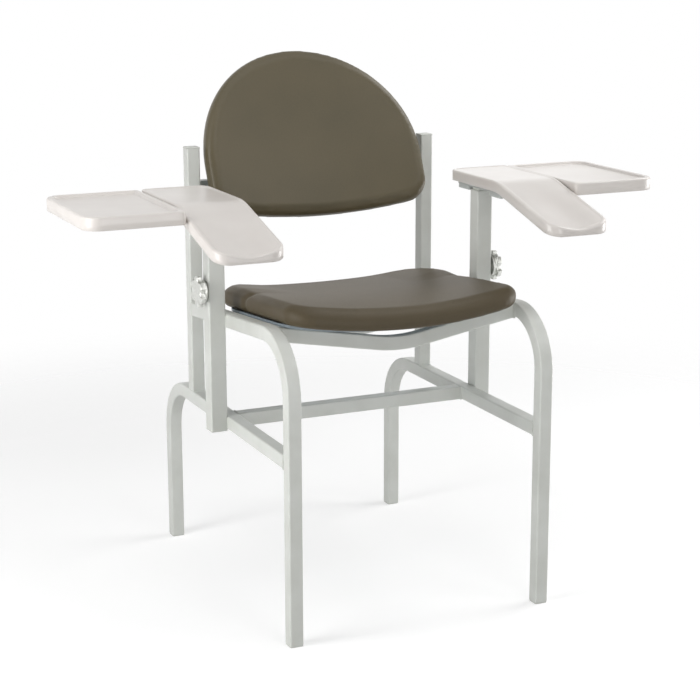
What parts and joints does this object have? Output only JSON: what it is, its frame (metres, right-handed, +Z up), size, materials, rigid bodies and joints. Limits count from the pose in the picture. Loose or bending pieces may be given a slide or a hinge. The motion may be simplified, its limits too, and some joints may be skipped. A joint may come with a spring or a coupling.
{
  "type": "phlebotomy chair",
  "caption": "Free-standing blood-draw chair: bent square-tube frame, saddle seat, reclined half-round back, and height-adjustable arms with forearm shells and side trays.",
  "frame": {"origin": "on the floor, under the middle of the chair's bounding box", "axes": "+Z up, +X towards the sitter's left, -Y the way the sitter faces"},
  "size_m": [1.113, 0.657, 0.9811],
  "materials": {
    "frame_paint": "satin pale grey-green powder coat on steel tube",
    "arm_tube_metal": "satin grey powder coat, a little worn where it slides",
    "arm_bar_paint": "dark grey satin powder coat on flat steel bar",
    "plug_plastic": "dark grey moulded polyethylene",
    "armrest_plastic": "glossy off-white moulded shell",
    "tray_plastic": "glossy off-white moulded tray",
    "knob_metal": "bright plated metal",
    "screw_steel": "zinc-plated steel",
    "pan_plastic": "pale blue-grey moulded shell",
    "board_plastic": "pale blue-grey moulded board",
    "seat_vinyl": "taupe coated upholstery fabric, fine grain",
    "back_vinyl": "taupe coated upholstery fabric, fine grain"
  },
  "bodies": {
    "chair": {"back_board": "board_plastic", "back_brackets": "frame_paint", "back_crossbar": "frame_paint", "back_cushion": "back_vinyl", "back_post_caps": "plug_plastic", "back_screws": "screw_steel", "clamp_bosses": "frame_paint", "foot_glides": "plug_plastic", "front_seat_crossbar": "frame_paint", "left_arm_sleeve": "frame_paint", "left_back_post": "frame_paint", "left_front_leg": "frame_paint", "left_rear_leg": "frame_paint", "lower_stretcher": "frame_paint", "rear_seat_crossbar": "frame_paint", "right_arm_sleeve": "frame_paint", "right_back_post": "frame_paint", "right_front_leg": "frame_paint", "right_rear_leg": "frame_paint", "seat_cushion": "seat_vinyl", "seat_pan": "pan_plastic", "seat_screws": "screw_steel", "sleeve_bushings": "plug_plastic", "sleeve_plugs": "plug_plastic"},
    "left_arm": {"left_arm_tube": "arm_tube_metal", "left_arm_plate": "arm_bar_paint", "left_tray_bars": "arm_bar_paint", "left_armrest": "armrest_plastic", "left_tray": "tray_plastic", "left_arm_screws": "screw_steel"},
    "right_arm": {"right_arm_tube": "arm_tube_metal", "right_arm_plate": "arm_bar_paint", "right_tray_bars": "arm_bar_paint", "right_armrest": "armrest_plastic", "right_tray": "tray_plastic", "right_arm_screws": "screw_steel"},
    "left_clamp_knob": {"left_knob": "knob_metal", "left_knob_stud": "screw_steel"},
    "right_clamp_knob": {"right_knob": "knob_metal", "right_knob_stud": "screw_steel"}
  },
  "joints": [
    {"name": "left_arm_height", "type": "slide", "parent": "chair", "child": "left_arm", "axis": [0, 0, 1], "range_m": [0, 0.15]},
    {"name": "right_arm_height", "type": "slide", "parent": "chair", "child": "right_arm", "axis": [0, 0, 1], "range_m": [0, 0.15]},
    {"name": "left_knob_turn", "type": "hinge", "parent": "chair", "child": "left_clamp_knob", "pos_m": [0.294, -0.0192, 0.5795], "axis": [1, 0, 0], "range_deg": [0, 360]},
    {"name": "right_knob_turn", "type": "hinge", "parent": "chair", "child": "right_clamp_knob", "pos_m": [-0.294, -0.0192, 0.5795], "axis": [-1, 0, 0], "range_deg": [0, 360]}
  ]
}
